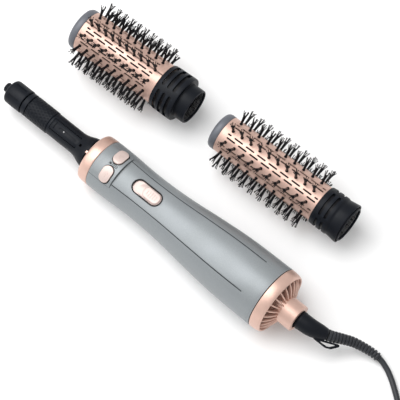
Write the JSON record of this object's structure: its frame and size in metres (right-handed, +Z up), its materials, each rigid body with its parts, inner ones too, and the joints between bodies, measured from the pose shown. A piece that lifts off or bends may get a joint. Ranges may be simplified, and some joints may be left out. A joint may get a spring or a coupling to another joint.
{
  "type": "hot air brush",
  "caption": "Rotating hot air styling brush: driven spindle handle with air grille and slide switch, and large and small bristle barrels that pull off, on a mains cord.",
  "frame": {"origin": "middle of the footprint of the handle and the two brush heads, on the surface they lie on; the free cord with its coil and plug is not counted", "axes": "+X along the handle from the spindle towards the cord, +Y towards the two brush heads, +Z up"},
  "size_m": [0.5687, 0.1594, 0.0689],
  "materials": {
    "grey_satin": "satin metallic grey lacquer on moulded ABS",
    "rose_plated": "satin rose gold plating on moulded plastic",
    "rose_metal": "rose gold anodised thin sheet with pressed slots",
    "black_plastic": "heat resistant black plastic, fine grain",
    "bristle": "black nylon bristles with rounded ends",
    "cord_rubber": "soft black sheath",
    "steel": "nickel plated or drawn steel",
    "mica": "pale mica board",
    "board": "green solder mask"
  },
  "bodies": {
    "handle": {"front_ring": "rose_plated", "rear_ring": "rose_plated", "upper_shell": "grey_satin", "lower_shell": "grey_satin", "shell_screw_front": "steel", "shell_screw_rear": "steel", "intake_grille": "rose_plated", "spindle_base": "black_plastic", "spindle_sleeve": "black_plastic", "spindle_bearing": "black_plastic", "shaft_bush": "steel", "gearbox": "steel", "drive_motor": "steel", "heater_frame": "mica", "heater_coil": "steel", "heater_sleeve": "mica", "thermal_cutout": "steel", "circuit_board": "board", "slide_switch_body": "black_plastic", "button_bezel": "grey_satin", "left_tact_switch": "black_plastic", "right_tact_switch": "black_plastic", "fan_shroud": "black_plastic", "fan_motor": "steel", "cord_clamp": "black_plastic", "cord_elbow": "black_plastic", "strain_relief": "cord_rubber", "cord_tube": "cord_rubber", "cord_coil": "cord_rubber", "cord_lead": "cord_rubber", "cord_tie": "black_plastic", "plug_body": "black_plastic", "plug_pin_left": "steel", "plug_pin_right": "steel"},
    "drive": {"drive_tip": "black_plastic", "output_shaft": "steel"},
    "fan": {"fan": "black_plastic", "fan_shaft": "steel"},
    "latch": {"latch_tongue": "black_plastic"},
    "left_button": {"left_button": "rose_plated"},
    "right_button": {"right_button": "rose_plated"},
    "slide_knob": {"slide_knob": "rose_plated"},
    "large_head_mount": {"large_collar": "black_plastic", "large_bearing_ring": "steel", "large_clip_ring": "steel"},
    "large_head_barrel": {"large_barrel": "rose_metal", "large_end_cap": "grey_satin", "large_bristles_a": "bristle", "large_bristles_b": "bristle", "large_bristles_c": "bristle", "large_drive_socket": "black_plastic"},
    "small_head_mount": {"small_collar": "black_plastic", "small_bearing_ring": "steel", "small_clip_ring": "steel"},
    "small_head_barrel": {"small_barrel": "rose_metal", "small_end_cap": "grey_satin", "small_bristles_a": "bristle", "small_bristles_b": "bristle", "small_bristles_c": "bristle", "small_drive_socket": "black_plastic"}
  },
  "joints": [
    {"name": "drive_spin", "type": "hinge", "parent": "handle", "child": "drive", "pos_m": [-0.17006, -0.04896, 0.02042], "axis": [0.9994, 0, 0.0349], "continuous": true},
    {"name": "fan_spin", "type": "hinge", "parent": "handle", "child": "fan", "pos_m": [0.10328, -0.04896, 0.02996], "axis": [0.9994, 0, 0.0349], "continuous": true},
    {"name": "latch_flex", "type": "hinge", "parent": "handle", "child": "latch", "pos_m": [-0.08285, -0.0519, 0.03308], "axis": [0.0102, -0.9563, -0.2922], "range_deg": [0, 2], "stiffness_Nm_per_rad": 0.6},
    {"name": "left_button_press", "type": "slide", "parent": "handle", "child": "left_button", "axis": [0.0301, 0.506, -0.862], "range_m": [0, 0.0012], "stiffness_N_per_m": 500},
    {"name": "right_button_press", "type": "slide", "parent": "handle", "child": "right_button", "axis": [0.0331, -0.3156, -0.9483], "range_m": [0, 0.0012], "stiffness_N_per_m": 500},
    {"name": "switch_slide", "type": "slide", "parent": "handle", "child": "slide_knob", "axis": [-0.9994, 0, -0.0349], "range_m": [0, 0.006]},
    {"name": "large_head_lift", "type": "slide", "parent": "handle", "child": "large_head_mount", "axis": [0, 0, 1], "range_m": [0, 0.12]},
    {"name": "large_barrel_spin", "type": "hinge", "parent": "large_head_mount", "child": "large_head_barrel", "pos_m": [-0.10912, 0.03974, 0.03389], "axis": [0.9985, 0.0541, 0], "continuous": true},
    {"name": "small_head_lift", "type": "slide", "parent": "handle", "child": "small_head_mount", "axis": [0, 0, 1], "range_m": [0, 0.12]},
    {"name": "small_barrel_spin", "type": "hinge", "parent": "small_head_mount", "child": "small_head_barrel", "pos_m": [0.05428, 0.04554, 0.03073], "axis": [0.9993, 0.0366, 0], "continuous": true}
  ]
}
